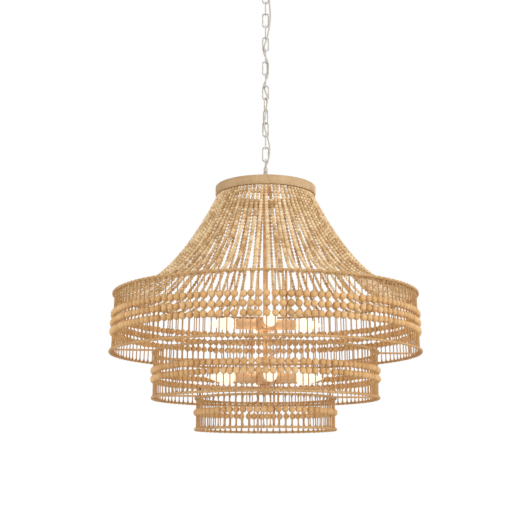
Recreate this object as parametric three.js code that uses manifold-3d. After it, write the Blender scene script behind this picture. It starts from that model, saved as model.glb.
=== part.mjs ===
// Beaded chandelier: three stepped rings of beaded cords and a flared crown of bead strands,
// hung on a chain below a ceiling rose. Millimetres, +Z up, origin on the ceiling at the centre
// of the mounting bar. +Y points away from the person who looks at it, +X to their right.
import * as THREE from 'three';
import { mergeVertices } from 'three/addons/utils/BufferGeometryUtils.js';
import Module from 'manifold-3d';

const wasm = await Module();
wasm.setup();

// Clearance between pieces that touch, and the overrun of a cut past the face it opens
const seatGap = 0.3;
const cutOverrun = 2;

// Heights of the shade's stages and of the stem that stands out above its band
const crownHeight = 271;
const tierOneHeight = 149.5;
const tierTwoHeight = 116;
const tierThreeHeight = 78.5;
const bandHeight = 24;
const stemAboveBand = 40;

// Radii of the cords where they meet each ring
const bandRadius = 130;
const bandThickness = 6;
const tierOneRadius = 394;
const tierOneFlare = 6;
const tierTwoRadius = 290;
const tierThreeRadius = 179;

// Wire of the rings with the cord wrapped round it, and of the arms and risers
const ringWire = 6;
const armWire = 6;
const riserWire = 5;

// Beads and cords; the bead is a barrel, about as tall as wide
const beadWidth = 15;
const beadHeight = 15.5;
const beadRowPitch = 22.5;
const cordWidth = 2.6;
const beadShoulder = 4;
const strandWidth = 8;
const headerWire = 5;
const tierOneRowDepth = 54;
const tierTwoRowDepth = 47;
const tierThreeRowDepth = 36;
const tierOneRowCount = 3;
const tierTwoRowCount = 2;
const tierThreeRowCount = 1;
const tierOneCordCount = 20;
const tierTwoCordCount = 16;
const tierThreeCordCount = 12;
const beadsPerCordCount = 4;
const crownGroupCount = 4;
const strandsPerGroupCount = 10;
const crownSpanCount = 4;
const crownCurvePower = 2;

// Share of a cord's or strand's pitch by which the first one stands beside an arm
const besideArmShare = 0.5;

// The whole frame is turned a little, as it hangs in the room
const frameTurn = THREE.MathUtils.degToRad(7);
const armCount = 4;

// Stem and the hubs on it
const stemRadius = 6.5;
const stemBore = 4;
const hubRadius = 15;
const hubHeight = 16;
const bandArmDrop = 12;
const middleHubDrop = 17;
const stemNutRadius = 11;
const stemNutHeight = 6;
const stemTail = 4;

// Lamps: sockets stand out sideways from a square body at two heights
const upperLampDepth = 73;
const lowerLampDepth = 62.5;
const lampCount = 4;
const lampBodyWidth = 48;
const lampBodyHeight = 34;
const lampBodyCorner = 8;
const socketRadius = 13.5;
const socketLength = 54;
const socketBore = 7.3;
const socketBoreDepth = 24;
const lampCapRadius = 7;
const bulbRadius = 17.5;
const bulbLength = 74;

// Chain: links of round wire with rounded corners. The links below the straight ones are
// turned a quarter by the twist in the chain.
const linkCount = 14;
const straightLinkCount = 9;
const twistedLinkCount = 4;
const linkWire = 3.5;
const linkWidth = 19;
const linkLength = 42;
const linkCorner = 5.8;
const loopRadius = 12.75;
const loopWire = 4.5;
const loopSink = 3.5;
const loopCollarHeight = 14.2;
const loopCollarSide = 11;
const loopCollarFront = 5.5;
const wireHole = 3;

// Ceiling rose
const roseRadius = 65;
const roseHeight = 32;
const roseWall = 1.5;
const roseShoulderShare = 0.55;
const roseRim = 4;
const barLength = 96;
const barWidth = 20;
const barThickness = 3;
const barBossRadius = 9;
const barBossHeight = 7;
const barHole = 2.6;
const barHoleSpacing = 70;
const nippleRadius = 5;
const nippleBore = 3.5;
const nippleThread = 5;
const roseNutRadius = 9;
const roseNutHeight = 5;

// Facets of round pieces
const tierOneSegments = 32;
const tierTwoSegments = 28;
const tierThreeSegments = 24;
const ringSides = 5;
const rodSides = 6;
const bandSides = 32;
const latheSides = 12;
const roseSides = 16;
const loopSegments = 16;
const lampSides = 8;
const linkSides = 5;
const linkCornerSteps = 2;
const cordSides = 8;
const cordSteps = 64;

// Finishes
const finish = (color, roughness, metalness) => new THREE.MeshStandardMaterial({ color, roughness, metalness });
const whitewash = finish(0xe4dccf, 0.6, 0.1);
const woodBead = finish(0xd2ab7c, 0.75, 0);
const wrappedCane = finish(0xc4a27a, 0.8, 0);
const tanPaint = finish(0xc9a179, 0.6, 0);
const sleeveCard = finish(0xe0bd92, 0.65, 0);
const bulbGlass = finish(0xfff2d8, 0.2, 0);
const cordJacket = finish(0xbfb8ab, 0.5, 0);

// Booleans: three.js geometry to a solid and back
function toSolid(geometry) {
  const bare = geometry.clone();
  bare.deleteAttribute('normal');
  bare.deleteAttribute('uv');
  const merged = mergeVertices(bare);
  const vertProperties = new Float32Array(merged.attributes.position.array);
  const triVerts = new Uint32Array(merged.index.array);
  return new wasm.Manifold(new wasm.Mesh({ numProp: 3, vertProperties, triVerts }));
}

function fromSolid(solid) {
  const mesh = solid.getMesh();
  const geometry = new THREE.BufferGeometry();
  geometry.setAttribute('position', new THREE.BufferAttribute(new Float32Array(mesh.vertProperties), 3));
  geometry.setIndex(Array.from(mesh.triVerts));
  geometry.computeVertexNormals();
  return geometry;
}

function fuse(pieces) {
  return fromSolid(pieces.map(toSolid).reduce((whole, piece) => whole.add(piece)));
}

function cut(body, tools) {
  return fromSolid(tools.map(toSolid).reduce((whole, tool) => whole.subtract(tool), toSolid(body)));
}

// Revolve an outline of [radius, height] points about the Z axis
function revolve(outline, sides = latheSides) {
  const geometry = new THREE.LatheGeometry(outline.map(([r, z]) => new THREE.Vector2(r, z)), sides);
  return geometry.rotateX(Math.PI / 2);
}

// A washer, collar or tube round the Z axis
function collar(inner, outer, bottom, top, sides = latheSides) {
  return revolve([[inner, bottom], [outer, bottom], [outer, top], [inner, top], [inner, bottom]], sides);
}

function rodAlongX(radius, start, end) {
  const rod = new THREE.CylinderGeometry(radius, radius, end - start, rodSides);
  return rod.rotateZ(Math.PI / 2).translate((start + end) / 2, 0, 0);
}

function rodAlongZ(radius, bottom, top, sides = rodSides) {
  const rod = new THREE.CylinderGeometry(radius, radius, top - bottom, sides);
  return rod.rotateX(Math.PI / 2).translate(0, 0, (bottom + top) / 2);
}

// A round ring lying flat
function wireRing(radius, wire, height, segments) {
  const ring = new THREE.TorusGeometry(radius, wire / 2, ringSides, segments);
  return ring.translate(0, 0, height);
}

// Collects the corners and faces of a closed shell. A corner lies at a turn about the Z axis and
// a [radius, height] point, and may stand a little aside of that turn. A face's corners run
// clockwise as seen from outside.
function shell() {
  const positions = [];
  const triangles = [];
  const corner = (turn, [radius, height], aside = 0) => {
    positions.push(
      radius * Math.cos(turn) - aside * Math.sin(turn),
      radius * Math.sin(turn) + aside * Math.cos(turn),
      height,
    );
    return positions.length / 3 - 1;
  };
  const quad = (a, b, c, d) => triangles.push(a, c, b, a, d, c);
  const peak = (tip, ring) => ring.forEach((from, k) => triangles.push(tip, ring[(k + 1) % ring.length], from));

  // A square cord that leaves the shell at four corners and follows pairs of points
  const runCord = (turn, width, root, stations) => {
    let loop = root;
    for (const [first, second] of stations) {
      const far = [[first, -1], [first, 1], [second, 1], [second, -1]].map(
        ([point, side]) => corner(turn, point, (side * width) / 2),
      );
      loop.forEach((_, k) => quad(loop[k], loop[(k + 1) % 4], far[(k + 1) % 4], far[k]));
      loop = far;
    }
    quad(...loop);
  };

  const finish = () => {
    const geometry = new THREE.BufferGeometry();
    geometry.setAttribute('position', new THREE.Float32BufferAttribute(positions, 3));
    geometry.setIndex(triangles);
    geometry.computeVertexNormals();
    return geometry;
  };
  return { corner, quad, peak, runCord, finish };
}

// A quarter of the crown: a header cord inside the band's lower edge, and the bead strands that
// hang from it to the inner side of the first rim. A strand is steep at the band and level at the rim.
function crownStrands(group) {
  const { corner, quad, runCord, finish } = shell();
  const headerTop = bandBottom + headerWire;
  const bandInside = (bandRadius - bandThickness / 2) * Math.cos(Math.PI / bandSides);
  const headerRadius = bandInside - seatGap - headerWire / 2;
  const strandHalf = strandWidth / 2;
  const drop = bandBottom - tierOneTop;
  const rimInside = tierOneRadius * Math.cos(Math.PI / tierOneSegments) - ringWire / 2;
  const spread = rimInside - seatGap - headerRadius;
  const stations = Array.from({ length: crownSpanCount }, (_, i) => {
    const share = (i + 1) / crownSpanCount;
    const radius = headerRadius + spread * share;
    const height = tierOneTop + drop * (1 - share) ** crownCurvePower;
    const slope = (-drop * crownCurvePower * (1 - share) ** (crownCurvePower - 1)) / spread;
    const out = new THREE.Vector2(-slope, 1).normalize().multiplyScalar(strandHalf);
    return [[radius + out.x, height + out.y], [radius - out.x, height - out.y]];
  });
  const outer = headerRadius + headerWire / 2;
  const inner = headerRadius - headerWire / 2;
  const outline = [[outer, headerTop], [outer, bandBottom], [inner, bandBottom], [inner, headerTop]];
  const foot = 1;
  const pitch = (2 * Math.PI) / (crownGroupCount * strandsPerGroupCount);
  const strands = Array.from({ length: strandsPerGroupCount }, (_, i) => {
    const turn = (group * strandsPerGroupCount + i + besideArmShare) * pitch;
    const [left, right] = [-strandHalf, strandHalf].map((aside) => outline.map((point) => corner(turn, point, aside)));
    return { turn, left, right };
  });
  strands.forEach(({ turn, left, right }, i) => {
    outline.forEach((_, k) => {
      const below = (k + 1) % outline.length;
      if (k !== foot) quad(left[k], right[k], right[below], left[below]);
      if (i + 1 < strands.length) {
        const beyond = strands[i + 1].left;
        quad(right[k], beyond[k], beyond[below], right[below]);
      }
    });
    runCord(turn, strandWidth, [left[foot], right[foot], right[foot + 1], left[foot + 1]], stations);
  });
  quad(...strands[0].left);
  quad(...strands[strands.length - 1].right.toReversed());
  return finish();
}

// One tier. Its beads stand shoulder to shoulder and row under row, so they make one band: from
// the corners between the beads, four flanks rise to each bead's belly. In every few columns
// a cord leaves the beads above and below, narrowing as the end beads do, and runs to the rings.
function beadTier({ top, bottom, topRadius, bottomRadius, rowCount, rowDepth, cordCount }) {
  const { corner, quad, peak, runCord, finish } = shell();
  const radiusAt = (height) => bottomRadius + ((topRadius - bottomRadius) * (height - bottom)) / (top - bottom);
  const spot = (height, out) => [radiusAt(height) + out, height];
  const bellies = Array.from({ length: rowCount }, (_, row) => top - rowDepth - row * beadRowPitch);
  const highest = bellies[0] + beadHeight / 2;
  const lowest = bellies[rowCount - 1] - beadHeight / 2;
  const waists = [highest, ...bellies.slice(1).map((belly) => belly + beadRowPitch / 2), lowest];
  const outline = [
    ...waists.map((waist) => spot(waist, cordWidth / 2)),
    spot(lowest, -cordWidth / 2),
    spot((highest + lowest) / 2, -beadWidth / 2),
    spot(highest, -cordWidth / 2),
  ];
  const foot = waists.length - 1;
  const rim = outline.length - 1;

  const columnCount = cordCount * beadsPerCordCount;
  const pitch = (2 * Math.PI) / columnCount;
  const edges = Array.from({ length: columnCount }, (_, i) => outline.map((point) => corner(i * pitch, point)));
  const cordEnd = (height) => [spot(height, cordWidth / 2), spot(height, -cordWidth / 2)];
  const toRing = ringWire / 2 + seatGap;
  const above = [cordEnd(highest + beadShoulder), cordEnd(top - toRing)].map((pair) => pair.toReversed());
  const below = [cordEnd(lowest - beadShoulder), cordEnd(bottom + toRing)];
  const corded = Math.floor(beadsPerCordCount * besideArmShare);
  edges.forEach((left, i) => {
    const right = edges[(i + 1) % columnCount];
    const middle = (i + 1 / 2) * pitch;
    const hasCord = i % beadsPerCordCount === corded;
    outline.forEach((_, k) => {
      const next = (k + 1) % outline.length;
      const face = [left[k], right[k], right[next], left[next]];
      if (k < rowCount) peak(corner(middle, spot(bellies[k], beadWidth / 2)), face);
      else if (hasCord && k === foot) runCord(middle, cordWidth, face, below);
      else if (hasCord && k === rim) runCord(middle, cordWidth, face, above);
      else quad(...face);
    });
  });
  return finish();
}

// Arms of round bar welded to a hub that slides on the stem. Risers stand on the arms, or start
// at a level of their own, and each ends in a bar that runs outward to a ring.
function spider({ height, reach, risers = [] }) {
  const hub = collar(stemRadius + seatGap, hubRadius, height - hubHeight / 2, height + hubHeight / 2);
  const hubMiddle = (stemRadius + seatGap + hubRadius) / 2;
  const pieces = [hub];
  for (let arm = 0; arm < armCount; arm += 1) {
    const turn = (arm * 2 * Math.PI) / armCount;
    const bars = [rodAlongX(armWire / 2, hubMiddle, reach).translate(0, 0, height)];
    for (const { radius, start = height, end, outward } of risers) {
      bars.push(rodAlongZ(riserWire / 2, Math.min(start, end), Math.max(start, end)).translate(radius, 0, 0));
      bars.push(rodAlongX(riserWire / 2, radius - riserWire / 2, outward).translate(0, 0, end));
    }
    bars.forEach((bar) => pieces.push(bar.rotateZ(turn)));
  }
  return fuse(pieces);
}

// The square body that carries the sockets, drilled for the stem
function lampBody() {
  const half = lampBodyWidth / 2;
  const inset = half - lampBodyCorner;
  const shape = new THREE.Shape();
  shape.moveTo(inset, -half);
  shape.lineTo(half, -inset);
  shape.lineTo(half, inset);
  shape.lineTo(inset, half);
  shape.lineTo(-inset, half);
  shape.lineTo(-half, inset);
  shape.lineTo(-half, -inset);
  shape.lineTo(-inset, -half);
  shape.closePath();
  const bore = new THREE.Path();
  bore.absarc(0, 0, stemRadius + seatGap, 0, 2 * Math.PI, true);
  shape.holes.push(bore);
  const body = new THREE.ExtrudeGeometry(shape, { depth: lampBodyHeight, bevelEnabled: false, curveSegments: latheSides });
  return body.translate(0, 0, -lampBodyHeight / 2);
}

// Socket and bulb are turned about their own axis, which then lies along +X
function socket() {
  const start = lampBodyWidth / 2 + seatGap;
  const end = start + socketLength;
  const outline = [
    [0, start],
    [socketRadius, start],
    [socketRadius, end],
    [socketBore, end],
    [socketBore, end - socketBoreDepth],
    [0, end - socketBoreDepth],
  ];
  return revolve(outline, lampSides).rotateY(Math.PI / 2);
}

function bulb() {
  const mouth = lampBodyWidth / 2 + seatGap + socketLength;
  const glassShares = [[0.5, 0.04], [0.8, 0.16], [1, 0.36], [0.94, 0.54], [0.62, 0.78], [0.24, 0.95]];
  const outline = [
    [0, mouth - socketBoreDepth + seatGap],
    [lampCapRadius, mouth - socketBoreDepth + seatGap],
    [lampCapRadius, mouth + seatGap],
    ...glassShares.map(([across, along]) => [bulbRadius * across, mouth + seatGap + bulbLength * along]),
    [0, mouth + seatGap + bulbLength],
  ];
  return revolve(outline, lampSides).rotateY(Math.PI / 2);
}

// Chain link: a rounded rectangle of round wire standing in the XZ plane, swept round its path
function chainLink() {
  const across = (linkWidth - linkWire) / 2 - linkCorner;
  const along = (linkLength - linkWire) / 2 - linkCorner;
  const centres = [[1, 1], [-1, 1], [-1, -1], [1, -1]].flatMap(([side, end], quarter) =>
    Array.from({ length: linkCornerSteps + 1 }, (_, step) => {
      const turn = (quarter + step / linkCornerSteps) * (Math.PI / 2);
      return { x: side * across + linkCorner * Math.cos(turn), z: end * along + linkCorner * Math.sin(turn), turn };
    }),
  );
  const positions = [];
  const triangles = [];
  for (const { x, z, turn } of centres) {
    for (let side = 0; side < linkSides; side += 1) {
      const around = Math.PI + (side * 2 * Math.PI) / linkSides;
      const out = (linkWire / 2) * Math.cos(around);
      positions.push(x + out * Math.cos(turn), (linkWire / 2) * Math.sin(around), z + out * Math.sin(turn));
    }
  }
  centres.forEach((_, i) => {
    const here = i * linkSides;
    const there = ((i + 1) % centres.length) * linkSides;
    for (let side = 0; side < linkSides; side += 1) {
      const other = (side + 1) % linkSides;
      triangles.push(here + side, here + other, there + other, here + side, there + other, there + side);
    }
  });
  const geometry = new THREE.BufferGeometry();
  geometry.setAttribute('position', new THREE.Float32BufferAttribute(positions, 3));
  geometry.setIndex(triangles);
  geometry.computeVertexNormals();
  return geometry;
}

// Hanging loop: a ring in the YZ plane, its centre at the origin, sunk into a collar below it
// that has a hole for the supply cord. The ceiling one is turned over.
const loopCollarTop = -(loopRadius - loopSink);
function hangingLoop(front, bore) {
  const ring = new THREE.TorusGeometry(loopRadius, loopWire / 2, rodSides, loopSegments).rotateY(Math.PI / 2);
  const bottom = loopCollarTop - loopCollarHeight;
  const block = revolve([[0, bottom], [loopCollarSide, bottom], [loopCollarSide, loopCollarTop], [0, loopCollarTop]]);
  block.scale(front / loopCollarSide, 1, 1);
  const hole = rodAlongZ(bore, bottom - cutOverrun, loopCollarTop + loopWire + cutOverrun, latheSides);
  return cut(fuse([ring, block]), [hole]);
}

// Heights along the chain: each link's top bar rests on the bar of the one above
const roseBottom = -roseHeight;
const ceilingLoopCentre = roseBottom - seatGap - loopCollarHeight + loopCollarTop;
const barInLoop = loopWire / 2 + linkWire / 2 + seatGap;
const linkHalf = (linkLength - linkWire) / 2;
const linkPitch = 2 * linkHalf - linkWire - seatGap;
const firstLinkHeight = ceilingLoopCentre - loopRadius + barInLoop - linkHalf;
const linkHeight = (index) => firstLinkHeight - (index - 1) * linkPitch;
const stemLoopCentre = linkHeight(linkCount) - linkHalf + barInLoop - loopRadius;
const stemTop = stemLoopCentre + loopCollarTop - loopCollarHeight - seatGap;

// Heights down the shade
const bandBottom = stemTop - stemAboveBand - bandHeight;
const tierOneTop = bandBottom - crownHeight;
const tierTwoTop = tierOneTop - tierOneHeight;
const tierThreeTop = tierTwoTop - tierTwoHeight;
const tierThreeBottom = tierThreeTop - tierThreeHeight;

// How far a link is turned about the chain's axis: every other one by a quarter turn, and the
// twist in the chain added over a few links
function linkTurn(index) {
  const twisted = Math.min(Math.max(index - straightLinkCount, 0), twistedLinkCount);
  return (((index - 1) % 2) - twisted / twistedLinkCount) * (Math.PI / 2);
}

// Supply cord: out of the ceiling loop, down the right side of the chain, through the openings
// of some links, and into the collar of the stem's loop
const cordRadius = 2.3;
const cordRoute = [
  [0, 0, -42.6], [0, 0, -48.5], [4.6, -4.2, -58.5], [10, -7.4, -72], [10.5, -7.5, -97],
  [13, -7, -140], [10.8, -6, -170], [6.6, -5.4, -194], [3.9, -5.6, -207], [-2.2, 0, -222],
  [-4.7, 5.1, -236], [-4, 3.6, -248], [0, 2.6, -257], [4.4, 4, -267], [4.9, 5.4, -279],
  [4.9, 5.4, -302], [4.2, 4, -316], [0, 2.6, -326], [-4.2, 4, -336], [-4.6, 4.9, -343],
  [0, 0, -359], [4.4, -4.8, -374], [4.4, -6, -390], [1.3, -9, -411], [-1, -8.6, -430],
  [-2.7, -7, -447], [-1.5, -6.5, -465], [4.4, -6.4, -482], [7.2, -6.4, -497], [10.8, -6.2, -516.5],
  [10, -5.6, -538], [5.4, -4.7, -555], [2.4, -2.2, -563], [0, 0, -570.5], [0, 0, -578],
];

function supplyCord() {
  const path = new THREE.CatmullRomCurve3(cordRoute.map((point) => new THREE.Vector3(...point)));
  const section = new THREE.Shape();
  for (let side = 0; side < cordSides; side += 1) {
    const turn = (side * 2 * Math.PI) / cordSides;
    const point = [cordRadius * Math.cos(turn), cordRadius * Math.sin(turn)];
    if (side) section.lineTo(...point);
    else section.moveTo(...point);
  }
  section.closePath();
  return new THREE.ExtrudeGeometry(section, { steps: cordSteps, extrudePath: path, bevelEnabled: false });
}

// Ceiling rose: a spun cup, the bar screwed to the ceiling inside it, and the tube and nut that
// hold the cup and the loop to the bar
function ceilingRose() {
  const shoulder = roseRadius * roseShoulderShare;
  const outline = [
    [nippleRadius + seatGap, roseBottom],
    [shoulder, roseBottom],
    [roseRadius - roseRim, -roseRim * 2],
    [roseRadius - roseRim, -roseWall],
    [roseRadius, -roseWall],
    [roseRadius, 0],
    [roseRadius - roseRim - roseWall, 0],
    [roseRadius - roseRim - roseWall, -roseRim * 2 + roseWall],
    [shoulder - roseWall, roseBottom + roseWall],
    [nippleRadius + seatGap, roseBottom + roseWall],
    [nippleRadius + seatGap, roseBottom],
  ];
  return revolve(outline, roseSides);
}

function ceilingBar() {
  const bar = new THREE.BoxGeometry(barLength, barWidth, barThickness).translate(0, 0, -barThickness / 2);
  const bossBottom = -barThickness - barBossHeight;
  const boss = revolve([[0, bossBottom], [barBossRadius, bossBottom], [barBossRadius, -barThickness / 2], [0, -barThickness / 2]]);
  const thread = rodAlongZ(nippleRadius + seatGap, bossBottom - cutOverrun, bossBottom + nippleThread, latheSides);
  const holes = [-1, 1].map((side) => {
    const hole = rodAlongZ(barHole, -barThickness - cutOverrun, cutOverrun);
    return hole.translate((side * barHoleSpacing) / 2, 0, 0);
  });
  return cut(fuse([bar, boss]), [thread, ...holes]);
}

const nippleTop = -barThickness - barBossHeight + nippleThread - seatGap;
const nippleBottom = roseBottom - seatGap - nippleThread;

// Assembly
const chandelier = new THREE.Group();
const fixture = new THREE.Group();
fixture.rotation.z = frameTurn;
chandelier.add(fixture);

function place(group, name, geometry, material, height = 0, turn = 0) {
  const mesh = new THREE.Mesh(geometry, material);
  mesh.name = name;
  mesh.position.z = height;
  mesh.rotation.z = turn;
  group.add(mesh);
  return mesh;
}

place(chandelier, 'ceiling_bar', ceilingBar(), whitewash);
place(chandelier, 'ceiling_rose', ceilingRose(), whitewash);
place(chandelier, 'rose_tube', collar(nippleBore, nippleRadius, nippleBottom, nippleTop), whitewash);
const roseNut = collar(nippleRadius + seatGap, roseNutRadius, 0, roseNutHeight);
place(chandelier, 'rose_nut', roseNut, whitewash, roseBottom + roseWall + seatGap);
const ceilingLoop = hangingLoop(loopCollarSide, wireHole);
const loopBottom = loopCollarTop - loopCollarHeight;
const socketTop = loopBottom + nippleThread + seatGap;
const tubeSocket = rodAlongZ(nippleRadius + seatGap, loopBottom - cutOverrun, socketTop, latheSides);
const ceilingLoopCut = cut(ceilingLoop, [tubeSocket]).rotateX(Math.PI);
place(chandelier, 'ceiling_loop', ceilingLoopCut, whitewash, ceilingLoopCentre);

for (let index = 1; index <= linkCount; index += 1) {
  const name = `chain_link_${String(index).padStart(2, '0')}`;
  place(chandelier, name, chainLink(), whitewash, linkHeight(index), linkTurn(index));
}
place(chandelier, 'supply_cord', supplyCord(), cordJacket);
place(chandelier, 'stem_loop', hangingLoop(loopCollarFront, wireHole), whitewash, stemLoopCentre);

// The crown's arms hold the band. The middle and lower arms end inside the beads, and from there
// spokes run outward over the two rings of each step.
const lampLevels = { upper: tierOneTop - upperLampDepth, lower: tierTwoTop - lowerLampDepth };
const spokeOverRing = ringWire / 2 + riserWire / 2 + seatGap;
const middleSpokes = tierTwoTop + spokeOverRing;
const lowerSpokes = tierThreeTop + spokeOverRing;
const bandArms = bandBottom + bandArmDrop;
const middleArms = tierTwoTop - middleHubDrop;
const lowerArms = lampLevels.lower - lampBodyHeight / 2 - seatGap - hubHeight / 2;
const stemBottom = lowerArms - hubHeight / 2 - seatGap - stemTail;
place(fixture, 'stem', collar(stemBore, stemRadius, stemBottom, stemTop), tanPaint);

const bandReach = bandRadius - bandThickness / 2 - seatGap;
place(fixture, 'crown_arms', spider({ height: bandArms, reach: bandReach }), tanPaint);
const insideBeads = (radius) => radius - beadWidth / 2 - riserWire / 2 - seatGap;
const insideRing = (radius) => radius - ringWire / 2 - seatGap;
const middleReach = insideBeads(tierTwoRadius);
const middleRisers = [
  { radius: middleReach, end: middleSpokes, outward: tierOneRadius + tierOneFlare },
  { radius: insideBeads(tierOneRadius), start: middleSpokes, end: tierOneTop, outward: insideRing(tierOneRadius) },
];
place(fixture, 'middle_arms', spider({ height: middleArms, reach: middleReach, risers: middleRisers }), tanPaint);
const lowerReach = insideBeads(tierThreeRadius);
const lowerRisers = [
  { radius: lowerReach, end: lowerSpokes, outward: tierTwoRadius },
  { radius: lowerReach, end: tierThreeBottom, outward: insideRing(tierThreeRadius) },
];
place(fixture, 'lower_arms', spider({ height: lowerArms, reach: lowerReach, risers: lowerRisers }), tanPaint);
const stemNut = revolve([
  [0, 0],
  [stemNutRadius / 2, 0],
  [stemNutRadius, stemNutHeight / 2],
  [stemNutRadius, stemNutHeight],
  [stemRadius + seatGap, stemNutHeight],
  [stemRadius + seatGap, stemNutHeight - stemTail - seatGap],
  [0, stemNutHeight - stemTail - seatGap],
]);
place(fixture, 'stem_nut', stemNut, tanPaint, stemBottom + stemTail - stemNutHeight);

const bandWall = [bandRadius - bandThickness / 2, bandRadius + bandThickness / 2];
place(fixture, 'crown_band', collar(...bandWall, bandBottom, bandBottom + bandHeight, bandSides), wrappedCane);
for (let group = 0; group < crownGroupCount; group += 1) {
  place(fixture, `crown_strands_${group + 1}`, crownStrands(group), woodBead);
}
const rings = {
  tier_1_top_ring: [tierOneRadius, tierOneTop, tierOneSegments],
  tier_1_bottom_ring: [tierOneRadius + tierOneFlare, tierTwoTop, tierOneSegments],
  tier_2_top_ring: [tierTwoRadius, tierTwoTop, tierTwoSegments],
  tier_2_bottom_ring: [tierTwoRadius, tierThreeTop, tierTwoSegments],
  tier_3_top_ring: [tierThreeRadius, tierThreeTop, tierThreeSegments],
  tier_3_bottom_ring: [tierThreeRadius, tierThreeBottom, tierThreeSegments],
};
for (const [name, [radius, height, segments]] of Object.entries(rings)) {
  place(fixture, name, wireRing(radius, ringWire, height, segments), wrappedCane);
}
const tiers = {
  tier_1_beads: {
    top: tierOneTop, bottom: tierTwoTop, topRadius: tierOneRadius, bottomRadius: tierOneRadius + tierOneFlare,
    rowCount: tierOneRowCount, rowDepth: tierOneRowDepth, cordCount: tierOneCordCount,
  },
  tier_2_beads: {
    top: tierTwoTop, bottom: tierThreeTop, topRadius: tierTwoRadius, bottomRadius: tierTwoRadius,
    rowCount: tierTwoRowCount, rowDepth: tierTwoRowDepth, cordCount: tierTwoCordCount,
  },
  tier_3_beads: {
    top: tierThreeTop, bottom: tierThreeBottom, topRadius: tierThreeRadius, bottomRadius: tierThreeRadius,
    rowCount: tierThreeRowCount, rowDepth: tierThreeRowDepth, cordCount: tierThreeCordCount,
  },
};
for (const [name, sizes] of Object.entries(tiers)) {
  place(fixture, name, beadTier(sizes), woodBead);
}

for (const [level, height] of Object.entries(lampLevels)) {
  place(fixture, `${level}_lamp_body`, lampBody(), tanPaint, height);
  for (let lamp = 1; lamp <= lampCount; lamp += 1) {
    const turn = ((lamp - 1) * 2 * Math.PI) / lampCount;
    place(fixture, `${level}_socket_${lamp}`, socket(), sleeveCard, height, turn);
    place(fixture, `${level}_bulb_${lamp}`, bulb(), bulbGlass, height, turn);
  }
}

export default chandelier;
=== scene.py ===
"""Looks for a beaded chandelier: strings of turned wooden beads on wrapped rings, candle lamps
inside, a whitewashed chain and a ceiling rose. Shapes are drawn in millimetres, with the ceiling at
height 0 and the stem on the Z axis, and turned to metres when a piece is finished."""

import math
import random

import bmesh
import bpy
import numpy as np
from mathutils import Matrix, Vector


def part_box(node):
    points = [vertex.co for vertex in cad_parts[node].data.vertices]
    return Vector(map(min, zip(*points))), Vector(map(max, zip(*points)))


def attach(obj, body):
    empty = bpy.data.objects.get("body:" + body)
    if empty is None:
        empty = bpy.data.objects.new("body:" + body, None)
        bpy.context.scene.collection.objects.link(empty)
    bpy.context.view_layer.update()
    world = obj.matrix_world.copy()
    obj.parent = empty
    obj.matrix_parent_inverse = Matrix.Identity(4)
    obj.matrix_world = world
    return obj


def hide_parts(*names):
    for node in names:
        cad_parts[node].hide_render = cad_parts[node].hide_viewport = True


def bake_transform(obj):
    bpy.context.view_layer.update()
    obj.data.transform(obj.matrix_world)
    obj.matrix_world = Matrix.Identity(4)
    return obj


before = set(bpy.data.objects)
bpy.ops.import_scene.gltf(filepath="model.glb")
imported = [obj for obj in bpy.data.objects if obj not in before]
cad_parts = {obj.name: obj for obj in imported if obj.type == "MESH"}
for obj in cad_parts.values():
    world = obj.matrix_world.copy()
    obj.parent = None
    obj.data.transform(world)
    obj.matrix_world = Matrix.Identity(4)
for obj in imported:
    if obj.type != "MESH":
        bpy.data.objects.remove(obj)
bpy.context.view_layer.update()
dice = random.Random(4977)

QUARTER_TURN = math.pi / 2
FULL_TURN = 2 * math.pi
TO_METRES = Matrix.Scale(0.001, 4)
SHADE_TURN = Matrix.Rotation(math.radians(7), 4, "Z")
ALONG_X = Matrix.Rotation(QUARTER_TURN, 4, "Y")

# Heights, radii from the stem's axis and radii of wires, as the solids have them
BAND_TOP = -626
BAND_BOTTOM = -650
TIER_1_TOP = -921
TIER_2_TOP = -1070.5
TIER_3_TOP = -1186.5
TIER_3_BOTTOM = -1265
BAND_RADIUS = 130
BAND_HALF_WALL = 3
BAND_OUTSIDE = BAND_RADIUS + BAND_HALF_WALL
BAND_CORNER = 1.6
WINDING_WIDE = 2.6
WINDING_DIP = 0.16
HEADER_RADIUS = 123.6
CROWN_FOOT_RADIUS = 388.8
TIER_1_RADIUS = 394
TIER_1_HEM = 400
TIER_2_RADIUS = 290
TIER_3_RADIUS = 179
RING_WIRE = 3
HEADER_WIRE = 2.5
ARM_WIRE = 3
RISER_WIRE = 2.5
CROWN_ARMS = -638
MIDDLE_ARMS = -1087.5
LOWER_ARMS = -1158.3
UPPER_LAMPS = TIER_1_TOP - 73
LOWER_LAMPS = TIER_2_TOP - 62.5

# The crown's strands and their beads. Lean and bow are shares of the strands' spacing, and a tone
# runs from 0, dark, to 1, pale
CROWN_STRANDS = 80
CROWN_BEAD_WIDE = 9.4
CROWN_BEAD_TALL = 8.9
CROWN_BEAD_HOLE = 1.5
CROWN_PITCH = 9.7
THREAD_RADIUS = 1.2
STRAND_LEAN = 0.08
STRAND_BOW = 0.20
STRAND_TONE = 0.15
CROWN_BEAD_TONE = 0.4

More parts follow.
